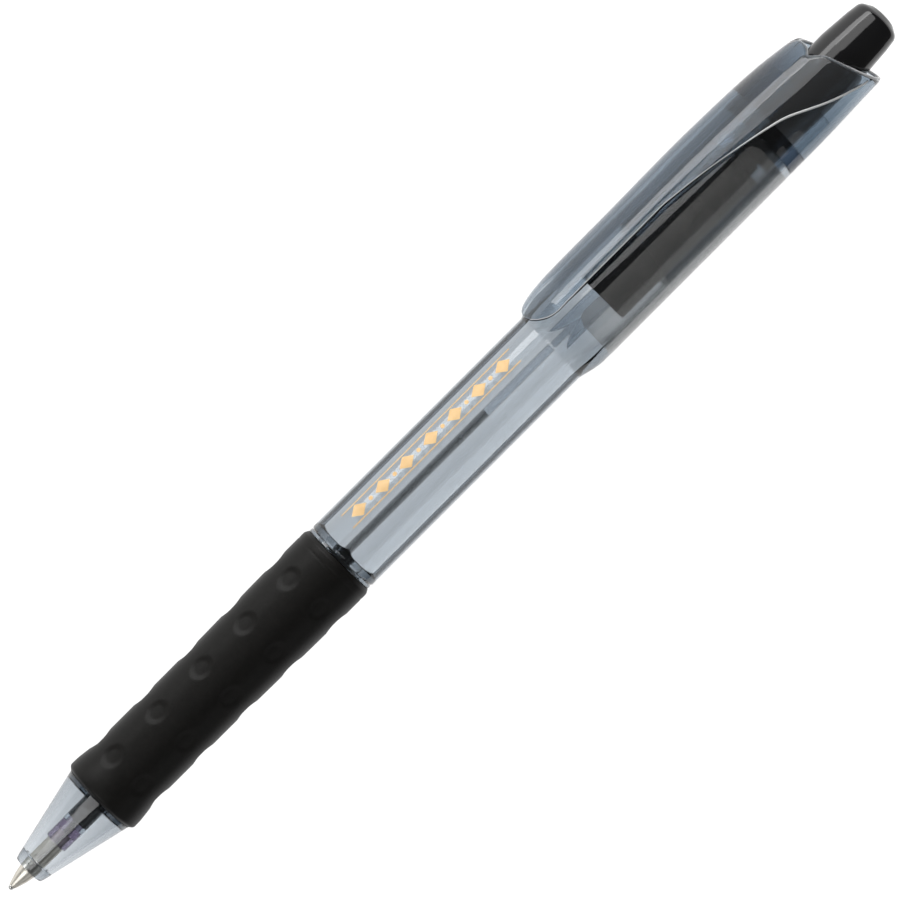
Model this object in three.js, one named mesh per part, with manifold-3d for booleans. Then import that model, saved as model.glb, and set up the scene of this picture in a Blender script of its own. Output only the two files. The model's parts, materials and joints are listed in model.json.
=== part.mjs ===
// A retractable pen with a clear barrel, a rubber grip and a one-piece clip cap.
//
// Every piece is built in the pen's own frame, in millimetres: +Y runs from the writing tip to the button,
// and a place along it is called a station, counted from the tip. +X points to the middle of the clip.
// The last section lays the pen on its side, with the tip towards +X and the table at z = 0.

import * as THREE from 'three';
import { mergeVertices } from 'three/addons/utils/BufferGeometryUtils.js';
import Module from 'manifold-3d';

const wasm = await Module();
wasm.setup();

// ---------------------------------------------------------------- driving dimensions

const PEN_LENGTH = 144;
const SIDES = 30;            // facets around every round piece
const CAM_SIDES = 32;        // facets around the click mechanism, a multiple of its eight teeth
const PLAY = 0.05;           // clearance between pieces that sit in each other

const BALL_R = 0.35;
const POINT_R = 1.15;        // metal point's shank
const POINT_END = 9.4;
const TIP_CHANNEL_R = 0.5;
const HOLDER_START = 7.8;
const HOLDER_END = 11.3;
const HOLDER_R = 1.46;

const TUBE_START = 10.65;
const TUBE_END = 103.4;
const TUBE_R = 1.5;
const TUBE_BORE_R = 1.12;
const EAR_START = 34;
const EAR_END = 34.8;
const INK_END = 74.6;
const FOLLOWER_END = 78.6;

const NOSE_START = 3.2;
const NOSE_TIP_R = 2.1;
const CONE_END = 14.95;
const CONE_R = 4.72;
const SPRING_SEAT = 15.6;
const CORE_R = 4.05;
const CORE_BORE_R = 2.5;
const SEAM = 54.8;           // where the front section meets the barrel

const GRIP_START = 15;
const GRIP_END = 54.3;
const DIMPLE_ROWS = 6;
const DIMPLES_PER_ROW = 5;
const DIMPLE_FIRST = 19.9;
const DIMPLE_PITCH = 7.23;
const DIMPLE_R = 1.7;
const DIMPLE_DEPTH = 0.17;
const GRIP_WAIST_R = 4.92;
const GRIP_LIP = [[4.8, 15], [5.15, 15.3], [5.22, 16], [5.1, 17.2], [4.9, 19.2]];
const GRIP_BODY = [[4.88, 24], [4.95, 40], [5.1, 51.5], [5.1, 53.3], [4.9, 54.05], [4.6, GRIP_END]];

const SPRING_WIRE_R = 0.175;
const SPRING_R = 1.925;      // mean radius of the coil
const SPRING_TURNS = 13;

const SPIGOT_START = 46;
const SPIGOT_R = 3.4;
const SPIGOT_BORE_R = 2.7;
const THREAD_PITCH = 1.5;
const THREAD_DEPTH = 0.25;
const THREAD_TURNS = 4;
const BARREL_R = 4.85;
const HEX_APOTHEM = 3.7;
const HEX_START = 55.8;
const HEX_END = 94.9;
const OPENING_START = 89.6;  // behind here a cone opens the six-sided bore to the round one
const OPENING_END = 96.6;
const FLARE_START = 89.2;
const REAR_R = 5.55;
const REAR_BORE_R = 4.5;
const BARREL_END = 123.25;

const COLLAR_START = 123.3;
const COLLAR_END = 125.4;
const COLLAR_R = REAR_R - 0.07;   // the collar and the cap stand a little inside the barrel's rear end
const SLEEVE_START = 103.1;
const SLEEVE_SLANT = 2.1;
const SLEEVE_END = 130.5;
const SLEEVE_R = 4.4;
const SLEEVE_TAIL_R = 4.7;
const SLEEVE_BORE_R = 3.6;
const WINDOW_PLACES = [[110.9, 1.2], [117.6, 2.4]];
const WINDOW_WIDTH = 1.6;

const CAM_START = 97.3;
const CAM_END = 119.5;
const CAM_R = 3.5;
const CAM_BORE_R = 3.05;
const CAM_MOUTH_R = 2.5;
const RIBS = 4;
const RIB_START = 107;
const RIB_END = 116;
const RIB_INNER_R = 2.55;
const RIB_WIDTH = 1.8;

const ROTOR_START = 98.5;
const ROTOR_R = 2.3;
const SPLINE_START = 103.6;
const SPLINE_END = 106.8;
const SPLINE_R = 2.82;
const SPLINE_WIDTH = 1.4;
const TEETH = 8;
const TOOTH_START = 107.6;
const TOOTH_HEIGHT = 0.9;
const TOOTH_GAP = 0.12;
const PILOT_R = 1.05;
const PILOT_END = 112;

const PLUNGER_BORE_R = 1.2;
const PLUNGER_BODY_END = 120.9;
const PLUNGER_STEM_R = 2;
const PLUNGER_END = 139.4;
const FIN_START = 109.5;
const FIN_END = 113.1;

const BUTTON_START = 121.2;
const BUTTON_FRONT_R = 3.3;
const BUTTON_FRONT_END = 126;
const BUTTON_R = 3.5;
const BUTTON_WIDEST = 137.4;
const BUTTON_CROWN = [[3.34, 139.9], [3.12, 141.5]];
const BUTTON_CORNER_START = 142.6;
const BUTTON_CORNER_R = 2.87;
const BUTTON_BORE_END = 139.8;

const CAP_START = 125.45;
const CAP_END = 138.9;
const CAP_BORE_R = 4.8;
const CAP_OUTLINE = [[5.47, 128], [5.42, 131], [5.29, 134.5]];
const HOOD_DEPTH = 1.2;
const RIM_R = 5.2;
const RIM_MIDDLE = 136.85;
const RIM_LEAN = 1.95;           // the rim leans: the clip's side is cut back further

const CLIP_START = 89.5;
const CLIP_ROOT = 125.15;
const CLIP_WALL = 0.5;
const CLIP_HALF_ANGLE = 37;      // degrees each side of the clip's middle
const CLIP_NOSE_LENGTH = 3.5;

// The clip's and hood's outer radius, and the degrees that they spread to each side, along the pen.
const CLIP_RADII = [[89.5, 5.62], [90.6, 5.95], [92.3, 6.25], [95, 6.46], [105, 6.52], [115.5, 6.66],
  [120, 6.58], [125.5, 6.4], [129.5, 6.15], [133.3, 5.68], [CAP_END, 5.15]];
const HOOD_SPREAD = [[110, CLIP_HALF_ANGLE], [116.5, 44.6], [123.5, 56], [128.2, 66.8], [133.4, 83.6],
  [CAP_END, 112.8]];
const HOOD_SWELL = 12;           // the hood reaches this much further round on its upper side
const HOOD_SWELL_SPAN = [126, 134];

const CLIP_TILT = 10;            // degrees above level at which the clip points when the pen lies at rest

// ---------------------------------------------------------------- materials

const plastic = (color, roughness = 0.15) =>
  new THREE.MeshStandardMaterial({ color, roughness, metalness: 0 });
const metal = (color, roughness) =>
  new THREE.MeshStandardMaterial({ color, roughness, metalness: 1 });

const SMOKE = 0x6f7a7d;
const CLIP_SMOKE = 0x53646f;
const BLACK = 0x0b0c0d;

// ---------------------------------------------------------------- geometry helpers

// three.js geometry to a manifold solid. An inside-out geometry is turned right side out.
function toSolid(geometry) {
  const bare = new THREE.BufferGeometry();
  bare.setAttribute('position', geometry.getAttribute('position').clone());
  bare.setIndex(geometry.index ?? [...Array(bare.getAttribute('position').count).keys()]);
  const merged = mergeVertices(bare, 1e-4);
  const vertProperties = new Float32Array(merged.getAttribute('position').array);
  const triVerts = [];
  const index = merged.index.array;
  for (let i = 0; i < index.length; i += 3) {
    const [a, b, c] = index.slice(i, i + 3);
    if (a !== b && b !== c && c !== a) triVerts.push(a, b, c);
  }
  if (signedVolume(vertProperties, triVerts) < 0) triVerts.reverse();
  return new wasm.Manifold(new wasm.Mesh({
    numProp: 3, vertProperties, triVerts: new Uint32Array(triVerts),
  }));
}

function signedVolume(points, triangles) {
  const corner = (i) => new THREE.Vector3().fromArray(points, triangles[i] * 3);
  let volume = 0;
  for (let i = 0; i < triangles.length; i += 3) {
    volume += corner(i).dot(corner(i + 1).cross(corner(i + 2))) / 6;
  }
  return volume;
}

function toGeometry(solid) {
  const mesh = solid.getMesh();
  const geometry = new THREE.BufferGeometry();
  geometry.setAttribute('position', new THREE.BufferAttribute(mesh.vertProperties, 3));
  geometry.setIndex(new THREE.BufferAttribute(mesh.triVerts, 1));
  return geometry;
}

const join = (...solids) => solids.reduce((all, solid) => all.add(solid));
const cut = (body, ...tools) => tools.reduce((rest, tool) => rest.subtract(tool), body);

// A turned piece. The outline is [radius, station] pairs that close on themselves or end on the axis.
function turned(outline, sides = SIDES) {
  const points = outline.map(([radius, station]) => new THREE.Vector2(radius, station));
  if (outline[0][0] > 0 || outline.at(-1)[0] > 0) points.push(points[0].clone());
  return toSolid(new THREE.LatheGeometry(points, sides, Math.PI / 2));
}

const ring = (inner, outer, start, end, sides = SIDES) =>
  turned([[inner, start], [outer, start], [outer, end], [inner, end]], sides);

const rod = (radius, start, end, sides = SIDES) =>
  turned([[0, start], [radius, start], [radius, end], [0, end]], sides);

// A box that stands out from the axis: radial span, station span, width across, turned by an angle.
function spoke([inner, outer], [start, end], width, degrees) {
  const box = new THREE.BoxGeometry(outer - inner, end - start, width);
  box.translate((inner + outer) / 2, (start + end) / 2, 0);
  box.rotateY(THREE.MathUtils.degToRad(degrees));
  return toSolid(box);
}

const spokes = (count, radii, stations, width, offset = 0) =>
  Array.from({ length: count }, (_, i) => spoke(radii, stations, width, offset + i * 360 / count));

// A value read off a list of [station, value] pairs, smoothly.
function along(pairs, station) {
  const curve = new THREE.CatmullRomCurve3(pairs.map(([s, v]) => new THREE.Vector3(s, v, 0)));
  const spans = pairs.length - 1;
  let lower = pairs.findLastIndex(([s]) => s <= station);
  lower = THREE.MathUtils.clamp(lower, 0, spans - 1);
  const [from, to] = [pairs[lower][0], pairs[lower + 1][0]];
  const t = THREE.MathUtils.clamp((station - from) / (to - from), 0, 1);
  return curve.getPoint((lower + t) / spans).y;
}

// ---------------------------------------------------------------- refill

function writingBall() {
  const ball = new THREE.SphereGeometry(BALL_R, 16, 10);
  ball.translate(0, BALL_R, 0);
  return toSolid(ball);
}

function tipCone() {
  const seat = BALL_R * 2 + PLAY;
  return turned([
    [BALL_R - 0.005, 0.48], [0.42, 0.5], [0.86, 1.4], [1.1, 2.6], [POINT_R, 3.4],
    [POINT_R, HOLDER_START - PLAY], [0.9, HOLDER_START - PLAY], [0.9, POINT_END], [TIP_CHANNEL_R, POINT_END],
    [TIP_CHANNEL_R, 3.1], [0.15, 2.6], [0.15, seat], [BALL_R + PLAY, seat - 0.1],
    [BALL_R + PLAY, 0.6],
  ]);
}

function tipHolder() {
  return turned([
    [0.95, HOLDER_START], [HOLDER_R - 0.12, HOLDER_START], [HOLDER_R, HOLDER_START + 0.2],
    [HOLDER_R, TUBE_START - PLAY], [TUBE_BORE_R - PLAY, TUBE_START - PLAY], [TUBE_BORE_R - PLAY, HOLDER_END],
    [TIP_CHANNEL_R, HOLDER_END], [TIP_CHANNEL_R, POINT_END + PLAY], [0.95, POINT_END + PLAY],
  ]);
}

function inkTube() {
  const tube = rod(TUBE_R, TUBE_START, TUBE_END);
  const ears = spokes(2, [0, 2.3], [EAR_START, EAR_END], 0.9);
  return cut(join(tube, ...ears), rod(TUBE_BORE_R, TUBE_START - 1, TUBE_END + 1));
}

function ink() {
  const narrow = TIP_CHANNEL_R - PLAY;
  const wide = TUBE_BORE_R - PLAY;
  const step = HOLDER_END + PLAY;
  return turned([[0, 3.2], [narrow, 3.2], [narrow, step], [wide, step], [wide, INK_END], [0, INK_END]]);
}

const inkFollower = () => rod(TUBE_BORE_R - PLAY, INK_END + PLAY, FOLLOWER_END);

class Helix extends THREE.Curve {
  getPoint(t, target = new THREE.Vector3()) {
    const margin = SPRING_WIRE_R + PLAY;
    const turn = t * SPRING_TURNS * 2 * Math.PI;
    const station = THREE.MathUtils.lerp(SPRING_SEAT + margin, EAR_START - margin, t);
    return target.set(SPRING_R * Math.cos(turn), station, SPRING_R * Math.sin(turn));
  }
}

function spring() {
  const section = new THREE.Shape();
  section.absarc(0, 0, SPRING_WIRE_R, 0, 2 * Math.PI);
  return toSolid(new THREE.ExtrudeGeometry(section, {
    curveSegments: 3, steps: SPRING_TURNS * 10, bevelEnabled: false, extrudePath: new Helix(),
  }));
}

// ---------------------------------------------------------------- front section

function noseHolder() {
  return turned([
    [1.3, NOSE_START], [NOSE_TIP_R - 0.3, NOSE_START], [NOSE_TIP_R, NOSE_START + 0.4], [CONE_R, CONE_END],
    [CORE_R, CONE_END], [CORE_R, GRIP_END + PLAY], [4.8, GRIP_END + PLAY], [4.8, SEAM - PLAY],
    [SPIGOT_R + PLAY, SEAM - PLAY], [SPIGOT_R + PLAY, SPIGOT_START - 0.3], [CORE_BORE_R, SPIGOT_START - 0.3],
    [CORE_BORE_R, SPRING_SEAT], [TUBE_R + 0.15, SPRING_SEAT], [TUBE_R + 0.15, CONE_END - 0.4],
    [3.6, CONE_END - 0.4], [1.6, NOSE_START + 1.6], [1.3, NOSE_START + 1.2],
  ]);
}

function gripSleeve() {
  const bore = CORE_R + PLAY;
  const sleeve = turned([[bore, GRIP_START], ...GRIP_LIP, ...GRIP_BODY, [bore, GRIP_END]]);
  const size = (DIMPLE_R ** 2 + DIMPLE_DEPTH ** 2) / (2 * DIMPLE_DEPTH);
  const dimples = [];
  for (let row = 0; row < DIMPLE_ROWS; row += 1) {
    for (let i = 0; i < DIMPLES_PER_ROW; i += 1) {
      const station = DIMPLE_FIRST + i * DIMPLE_PITCH;
      const dimple = new THREE.SphereGeometry(size, 22, 14);
      dimple.rotateZ(Math.PI / 2);
      dimple.translate(GRIP_WAIST_R + size - DIMPLE_DEPTH, station, 0);
      dimple.rotateY(THREE.MathUtils.degToRad(30 + row * 360 / DIMPLE_ROWS));
      dimples.push(toSolid(dimple));
    }
  }
  return cut(sleeve, ...dimples);
}

// ---------------------------------------------------------------- barrel

// The six-sided bore, with a corner towards the clip. Its ends are turned, so each panel ends in an arc.
function hexBore() {
  const corner = HEX_APOTHEM / Math.cos(Math.PI / 6);
  const prism = new THREE.CylinderGeometry(corner, corner, HEX_END - HEX_START + 2, 6);
  prism.rotateY(Math.PI / 2);
  prism.translate(0, (HEX_START + HEX_END) / 2, 0);
  const limits = rod(REAR_BORE_R, HEX_START + 0.6, HEX_END);
  const front = turned([[0, HEX_START - 0.2], [3.4, HEX_START - 0.2], [HEX_APOTHEM, HEX_START],
    [REAR_BORE_R, HEX_START + 0.7], [0, HEX_START + 0.7]]);
  return toSolid(prism).intersect(join(limits, front));
}

function barrel() {
  const thread = [];
  for (let i = 0; i < THREAD_TURNS; i += 1) {
    const crest = SPIGOT_START + 1 + i * THREAD_PITCH;
    const root = SPIGOT_R - THREAD_DEPTH;
    thread.push([root, crest - 0.4], [SPIGOT_R, crest], [root, crest + 0.4]);
  }
  const outside = turned([
    [0, SPIGOT_START], [SPIGOT_R - THREAD_DEPTH, SPIGOT_START], ...thread,
    [SPIGOT_R - THREAD_DEPTH, SEAM - 1.5], [SPIGOT_R, SEAM - 1.3], [SPIGOT_R, SEAM],
    [4.72, SEAM], [BARREL_R, SEAM + 0.3], [BARREL_R, FLARE_START],
    [5.1, FLARE_START + 0.8], [5.42, FLARE_START + 2.1], [REAR_R, FLARE_START + 3.4], [REAR_R, BARREL_END],
    [0, BARREL_END],
  ]);
  const rearBore = turned([
    [0, OPENING_START], [HEX_APOTHEM - PLAY, OPENING_START], [REAR_BORE_R, OPENING_END],
    [REAR_BORE_R, BARREL_END + 1], [0, BARREL_END + 1],
  ]);
  return cut(outside, rod(SPIGOT_BORE_R, SPIGOT_START - 1, HEX_START + 1), hexBore(), rearBore);
}

// ---------------------------------------------------------------- click mechanism

function guideSleeve() {
  const body = turned([
    [SLEEVE_BORE_R, SLEEVE_START], [SLEEVE_R, SLEEVE_START], [SLEEVE_R, COLLAR_START],
    [COLLAR_R, COLLAR_START], [COLLAR_R, COLLAR_END], [SLEEVE_TAIL_R, COLLAR_END],
    [SLEEVE_TAIL_R, SLEEVE_END], [SLEEVE_BORE_R, SLEEVE_END],
  ]);
  const wedge = new THREE.BoxGeometry(30, 20, 30);
  wedge.translate(0, -10, 0);
  wedge.rotateZ(Math.atan2(SLEEVE_SLANT, 2 * SLEEVE_R));
  wedge.translate(0, SLEEVE_START + SLEEVE_SLANT / 2, 0);
  wedge.rotateY(THREE.MathUtils.degToRad(-150));
  const windows = WINDOW_PLACES.flatMap(([start, length]) =>
    spokes(2, [3, 5], [start, start + length], WINDOW_WIDTH, 60));
  return cut(body, toSolid(wedge), ...windows);
}

function camTube() {
  const tube = turned([
    [CAM_BORE_R, CAM_START], [CAM_R - 0.15, CAM_START], [CAM_R, CAM_START + 0.2], [CAM_R, CAM_END],
    [CAM_MOUTH_R, CAM_END], [CAM_MOUTH_R, CAM_END - 1.3], [CAM_BORE_R, CAM_END - 1.3],
  ], CAM_SIDES);
  return join(tube, ...spokes(RIBS, [RIB_INNER_R, CAM_BORE_R + 0.2], [RIB_START, RIB_END], RIB_WIDTH));
}

// A ring whose one end is cut into teeth. The teeth point along +Y on the rotor and are met by the plunger.
function toothedRing(inner, outer, flatEnd, toothedEnd) {
  const points = [[inner, flatEnd], [outer, flatEnd], [outer, toothedEnd], [inner, toothedEnd],
    [inner, flatEnd]].map(([r, y]) => new THREE.Vector2(r, y));
  const geometry = new THREE.LatheGeometry(points, CAM_SIDES, Math.PI / 2);
  const position = geometry.getAttribute('position');
  for (let i = 0; i < position.count; i += 1) {
    if (Math.abs(position.getY(i) - toothedEnd) > 1e-6) continue;
    const turn = Math.atan2(position.getZ(i), position.getX(i)) / (2 * Math.PI) * TEETH;
    const rise = 1 - Math.abs(2 * (turn - Math.floor(turn)) - 1);
    position.setY(i, toothedEnd + TOOTH_HEIGHT * rise);
  }
  return toSolid(geometry);
}

function rotor() {
  const body = rod(ROTOR_R, ROTOR_START, TOOTH_START - 0.2, CAM_SIDES);
  const crown = toothedRing(PILOT_R - 0.3, ROTOR_R, TOOTH_START - 0.4, TOOTH_START);
  const pilot = rod(PILOT_R, TOOTH_START - 0.4, PILOT_END, CAM_SIDES);
  const splines = spokes(RIBS, [ROTOR_R - 0.5, SPLINE_R], [SPLINE_START, SPLINE_END], SPLINE_WIDTH, 45);
  const trimmed = cut(crown, ring(0.1, PLUNGER_BORE_R, TOOTH_START - 0.1, TOOTH_START + 2, CAM_SIDES));
  const socket = rod(TUBE_R + PLAY, ROTOR_START - 1, TUBE_END + PLAY);
  const vent = rod(0.5, ROTOR_START, PILOT_END + 1, 12);
  return cut(join(body, trimmed, pilot, ...splines), socket, vent);
}

function plunger() {
  const teeth = toothedRing(PLUNGER_BORE_R, ROTOR_R, TOOTH_START + TOOTH_HEIGHT + 1, TOOTH_START + TOOTH_GAP);
  const body = turned([
    [PLUNGER_BORE_R, TOOTH_START + TOOTH_HEIGHT + 0.8], [ROTOR_R, TOOTH_START + TOOTH_HEIGHT + 0.8],
    [ROTOR_R, PLUNGER_BODY_END], [PLUNGER_STEM_R, PLUNGER_BODY_END], [PLUNGER_STEM_R, PLUNGER_END],
    [PLUNGER_BORE_R, PLUNGER_END],
  ], CAM_SIDES);
  const fins = spokes(RIBS, [ROTOR_R - 0.4, SPLINE_R], [FIN_START, FIN_END], SPLINE_WIDTH, 45);
  return join(teeth, body, ...fins);
}

function pushButton() {
  const bore = PLUNGER_STEM_R + PLAY;
  const corner = [];
  const end = PEN_LENGTH;
  const roundR = end - BUTTON_CORNER_START;
  for (let i = 1; i <= 4; i += 1) {
    const angle = i * Math.PI / 8;
    corner.push([BUTTON_CORNER_R - roundR * (1 - Math.cos(angle)), end - roundR * (1 - Math.sin(angle))]);
  }
  return turned([
    [0, BUTTON_BORE_END], [bore, BUTTON_BORE_END], [bore, BUTTON_START], [BUTTON_FRONT_R, BUTTON_START],
    [BUTTON_FRONT_R, BUTTON_FRONT_END], [BUTTON_R, BUTTON_WIDEST], ...BUTTON_CROWN,
    [BUTTON_CORNER_R, BUTTON_CORNER_START], ...corner, [0, end],
  ]);
}

// ---------------------------------------------------------------- clip and end cap

// How far round the clip or hood reaches at a station, in degrees, on its lower (+Z) or upper side.
function halfAngle(station, side) {
  const behindNose = THREE.MathUtils.clamp((station - CLIP_START) / CLIP_NOSE_LENGTH, 0, 1);
  const rounding = Math.sqrt(1 - (1 - behindNose) ** 2);
  const swell = side < 0 ? HOOD_SWELL * THREE.MathUtils.smoothstep(station, ...HOOD_SWELL_SPAN) : 0;
  return Math.max((along(HOOD_SPREAD, station) + swell) * rounding, 6);
}

// A curved sheet of the clip between two stations: a plain box, bent around the pen.
function clipSheet(start, end, wall, steps) {
  const box = new THREE.BoxGeometry(1, 1, 1, 1, steps, 8);
  const position = box.getAttribute('position');
  for (let i = 0; i < position.count; i += 1) {
    const u = position.getY(i) + 0.5;
    const station = start + (end - start) * (start === CLIP_START ? u ** 1.6 : u);
    const radius = along(CLIP_RADII, station) - (position.getX(i) < 0 ? wall : 0);
    const side = position.getZ(i) * 2;
    const angle = THREE.MathUtils.degToRad(halfAngle(station, side)) * side;
    position.setXYZ(i, radius * Math.cos(angle), station, radius * Math.sin(angle));
  }
  return toSolid(box);
}

const clipArm = () => clipSheet(CLIP_START, CLIP_ROOT, CLIP_WALL, 22);

function clipCap() {
  const shell = turned([
    [CAP_BORE_R, CAP_START], [COLLAR_R, CAP_START], ...CAP_OUTLINE, [RIM_R, CAP_END + 1],
    [CAP_BORE_R, CAP_END + 1],
  ]);
  const hood = clipSheet(CAP_START, CAP_END, HOOD_DEPTH, 8);
  const beyondRim = new THREE.BoxGeometry(40, 20, 40);
  beyondRim.translate(0, 10, 0);
  beyondRim.rotateZ(-Math.atan(RIM_LEAN / RIM_R));
  beyondRim.translate(0, RIM_MIDDLE, 0);
  return cut(join(shell, hood), rod(CAP_BORE_R, CAP_START - 1, CAP_END + 2), toSolid(beyondRim));
}

// ---------------------------------------------------------------- assembly

const pen = new THREE.Group();

function add(name, solid, material) {
  const mesh = new THREE.Mesh(toGeometry(solid), material);
  mesh.name = name;
  pen.add(mesh);
}

add('writing_ball', writingBall(), metal(0xb9b7b2, 0.2));
add('tip_cone', tipCone(), metal(0xc8c3b9, 0.28));
add('tip_holder', tipHolder(), plastic(0x9c8fa6, 0.3));
add('ink_tube', inkTube(), plastic(0xc6ccd0, 0.25));
add('ink', ink(), plastic(0x08080a, 0.2));
add('ink_follower', inkFollower(), plastic(0x8b949a, 0.3));
add('spring', spring(), metal(0xb4b6b8, 0.3));
add('nose_holder', noseHolder(), plastic(SMOKE));
add('grip_sleeve', gripSleeve(), plastic(0x1d1b19, 0.75));
add('barrel', barrel(), plastic(SMOKE));
add('guide_sleeve', guideSleeve(), plastic(SMOKE));
add('cam_tube', camTube(), plastic(BLACK, 0.35));
add('rotor', rotor(), plastic(0x2a2d30, 0.4));
add('plunger', plunger(), plastic(0x1b1d1f, 0.4));
add('push_button', pushButton(), plastic(BLACK, 0.12));
add('clip_cap', clipCap(), plastic(CLIP_SMOKE));
add('clip_arm', clipArm(), plastic(CLIP_SMOKE));

const tilt = THREE.MathUtils.degToRad(CLIP_TILT);
const clipDirection = new THREE.Vector3(0, -Math.cos(tilt), Math.sin(tilt));
const buttonDirection = new THREE.Vector3(-1, 0, 0);
const sideDirection = clipDirection.clone().cross(buttonDirection);
pen.setRotationFromMatrix(new THREE.Matrix4().makeBasis(clipDirection, buttonDirection, sideDirection));

const object = new THREE.Group();
object.add(pen);
object.updateMatrixWorld(true);
const bounds = new THREE.Box3().setFromObject(object, true);
const middle = bounds.getCenter(new THREE.Vector3());
pen.position.set(-middle.x, -middle.y, -bounds.min.z);

export default object;
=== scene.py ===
"""A retractable pen lying on a pale table, seen from above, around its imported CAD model.

Places along the pen are stations, in millimetres from the writing tip. Places around it are angles in
degrees from the middle of the clip. place() turns both into metres in the model's frame.
"""

import json
import math

import bmesh
import bpy
from mathutils import Matrix, Vector


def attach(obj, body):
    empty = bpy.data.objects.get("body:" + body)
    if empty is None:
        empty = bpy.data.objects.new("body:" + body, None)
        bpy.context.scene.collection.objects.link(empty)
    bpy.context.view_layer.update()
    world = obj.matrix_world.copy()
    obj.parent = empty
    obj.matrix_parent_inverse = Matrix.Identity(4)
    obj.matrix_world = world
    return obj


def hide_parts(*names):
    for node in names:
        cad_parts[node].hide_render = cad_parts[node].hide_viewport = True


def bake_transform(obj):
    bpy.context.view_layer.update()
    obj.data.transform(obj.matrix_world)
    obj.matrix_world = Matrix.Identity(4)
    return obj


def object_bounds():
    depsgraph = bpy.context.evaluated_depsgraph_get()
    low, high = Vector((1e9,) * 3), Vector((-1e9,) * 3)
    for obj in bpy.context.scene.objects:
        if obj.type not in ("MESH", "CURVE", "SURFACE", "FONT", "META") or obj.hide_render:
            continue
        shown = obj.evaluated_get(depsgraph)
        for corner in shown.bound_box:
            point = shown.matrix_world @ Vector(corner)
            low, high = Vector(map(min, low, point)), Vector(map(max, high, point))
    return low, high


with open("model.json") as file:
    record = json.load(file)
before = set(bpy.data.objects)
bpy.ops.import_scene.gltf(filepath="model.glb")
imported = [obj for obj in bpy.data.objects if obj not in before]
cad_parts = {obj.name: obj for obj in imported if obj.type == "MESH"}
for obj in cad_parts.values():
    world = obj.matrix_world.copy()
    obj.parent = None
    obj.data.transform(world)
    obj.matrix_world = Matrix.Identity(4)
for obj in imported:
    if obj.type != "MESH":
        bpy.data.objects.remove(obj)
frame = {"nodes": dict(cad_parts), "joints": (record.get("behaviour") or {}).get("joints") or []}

MM = 0.001
CAD_BOX = [list(corner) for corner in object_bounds()]
JOINTS = {joint["name"]: joint for joint in frame["joints"]}

# The pen's own directions, read from the frame.
FORWARD = Vector((1, 0, 0))
TIP = Vector((CAD_BOX[1][0], *JOINTS["rotor_turn"]["pos_m"][1:]))
CLIP_SIDE = Vector(JOINTS["clip_flex"]["axis"]).cross(FORWARD).normalized()
ACROSS = CLIP_SIDE.cross(-FORWARD)

# ------------------------------------------------------------------ driving dimensions, in millimetres

PEN_LENGTH = 144
SIDES = 144                   # facets around a turned piece, a multiple of six for the bore

BALL_R = 0.35
HOLDER_START = 7.8            # the adapter between the metal point and the ink tube
HOLDER_END = 10.6
HOLDER_R = 1.46
TUBE_START = 10.65
TUBE_END = 103.4
TUBE_R = 1.5
TUBE_BORE_R = 1.12
INK_END = 74.6
FOLLOWER_END = 78.6
EAR_START = 34                # the spring pushes on two ears that stand out from the tube
EAR_END = 34.8
SPRING_WIRE_R = 0.175
SPRING_R = 1.925
SPRING_TURNS = 13
SPRING_START = 15.8

NOSE_START = 3.2
NOSE_END = 54.75
CONE_END = 14.95
GRIP_START = 15
GRIP_END = 54.3
GRIP_BORE_R = 4.1
GRIP_LINE = 52.9              # a fine moulded line near the rear end
GRIP_LINE_DEPTH = 0.05
GRIP_LINE_WIDTH = 0.09
SEAM = 54.8
DIMPLE_ROWS = 6
DIMPLES_PER_ROW = 5
DIMPLE_FIRST = 19.9
DIMPLE_PITCH = 7.23
DIMPLE_R = 1.7                # along the pen; across it they are a little narrower
DIMPLE_DEPTH = 0.17

BARREL_R = 4.85
BARREL_END = 123.25
REAR_R = 5.5
REAR_BORE_R = 4.5
FLARE_START = 89.2
FLARE_LENGTH = 3.3
HEX_APOTHEM = 3.7
HEX_START = 55.8
DOME_START = HEX_START - 0.2  # the bore's front end is domed
DOME_LENGTH = 0.95
CONE_START = 89.6             # behind here a cone opens the six-sided bore to the round one
CONE_STOP = 96.6
THREAD_START = 46.8
THREAD_END = 53
THREAD_PITCH = 1.5
THREAD_DEPTH = 0.25
SPIGOT_R = 3.4
SPIGOT_BORE_R = 2.7
SPIGOT_START = 46

SLEEVE_R = 4.4
SLEEVE_BORE_R = 3.6
SLEEVE_START = 103.1
SLEEVE_SLANT = 2.1
COLLAR_START = 123.3
COLLAR_END = 125.4
SLEEVE_END = 130.5
SLEEVE_TAIL_R = 4.7
WINDOWS = [(110.9, 1.2), (117.6, 2.4)]          # start and length
WINDOW_WIDTH = 1.6
CAM_START = 97.3
CAM_END = 119.5
CAM_R = 3.5
CAM_BORE_R = 3.05
CAM_STOP = 1.3                # the cam tube's rear end is thicker over this length
BUTTON_START = 121.2
BUTTON_R = 3.3

CAP_START = 125.45
CAP_END = 138.9
CAP_BORE_R = 4.8
CAP_TAPER = 0.3
CAP_TAPER_START = 127
RIM_R = 5.2
RIM_MIDDLE = 136.85
RIM_LEAN = 1.95               # how far the rim runs ahead of and behind its middle
RIM_SCOOP = 1.05              # how far the rim dips where the clip's sides meet it
RIM_SCOOP_ANGLE = 27
RIM_SCOOP_WIDTH = 11
RIM_ROLL = 0.9                # the cap's outside turns in over this length at the rim
RIM_ROLL_DEPTH = 0.34
CLIP_START = 89.5
CLIP_WALL = 0.5
CLIP_NOSE_LENGTH = 3.5
CLIP_HALF_ANGLE = 37
CLIP_LEAST_ANGLE = 3          # the clip's nose ends in an edge this far round on each side
CLIP_RADII = [(89.5, 5.6), (90.6, 5.93), (92.3, 6.23), (95, 6.43), (105, 6.5), (115.5, 6.62), (120, 6.55),
              (125.5, 6.38), (129.5, 6.13), (133.3, 5.66), (138.9, 5.12)]
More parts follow.
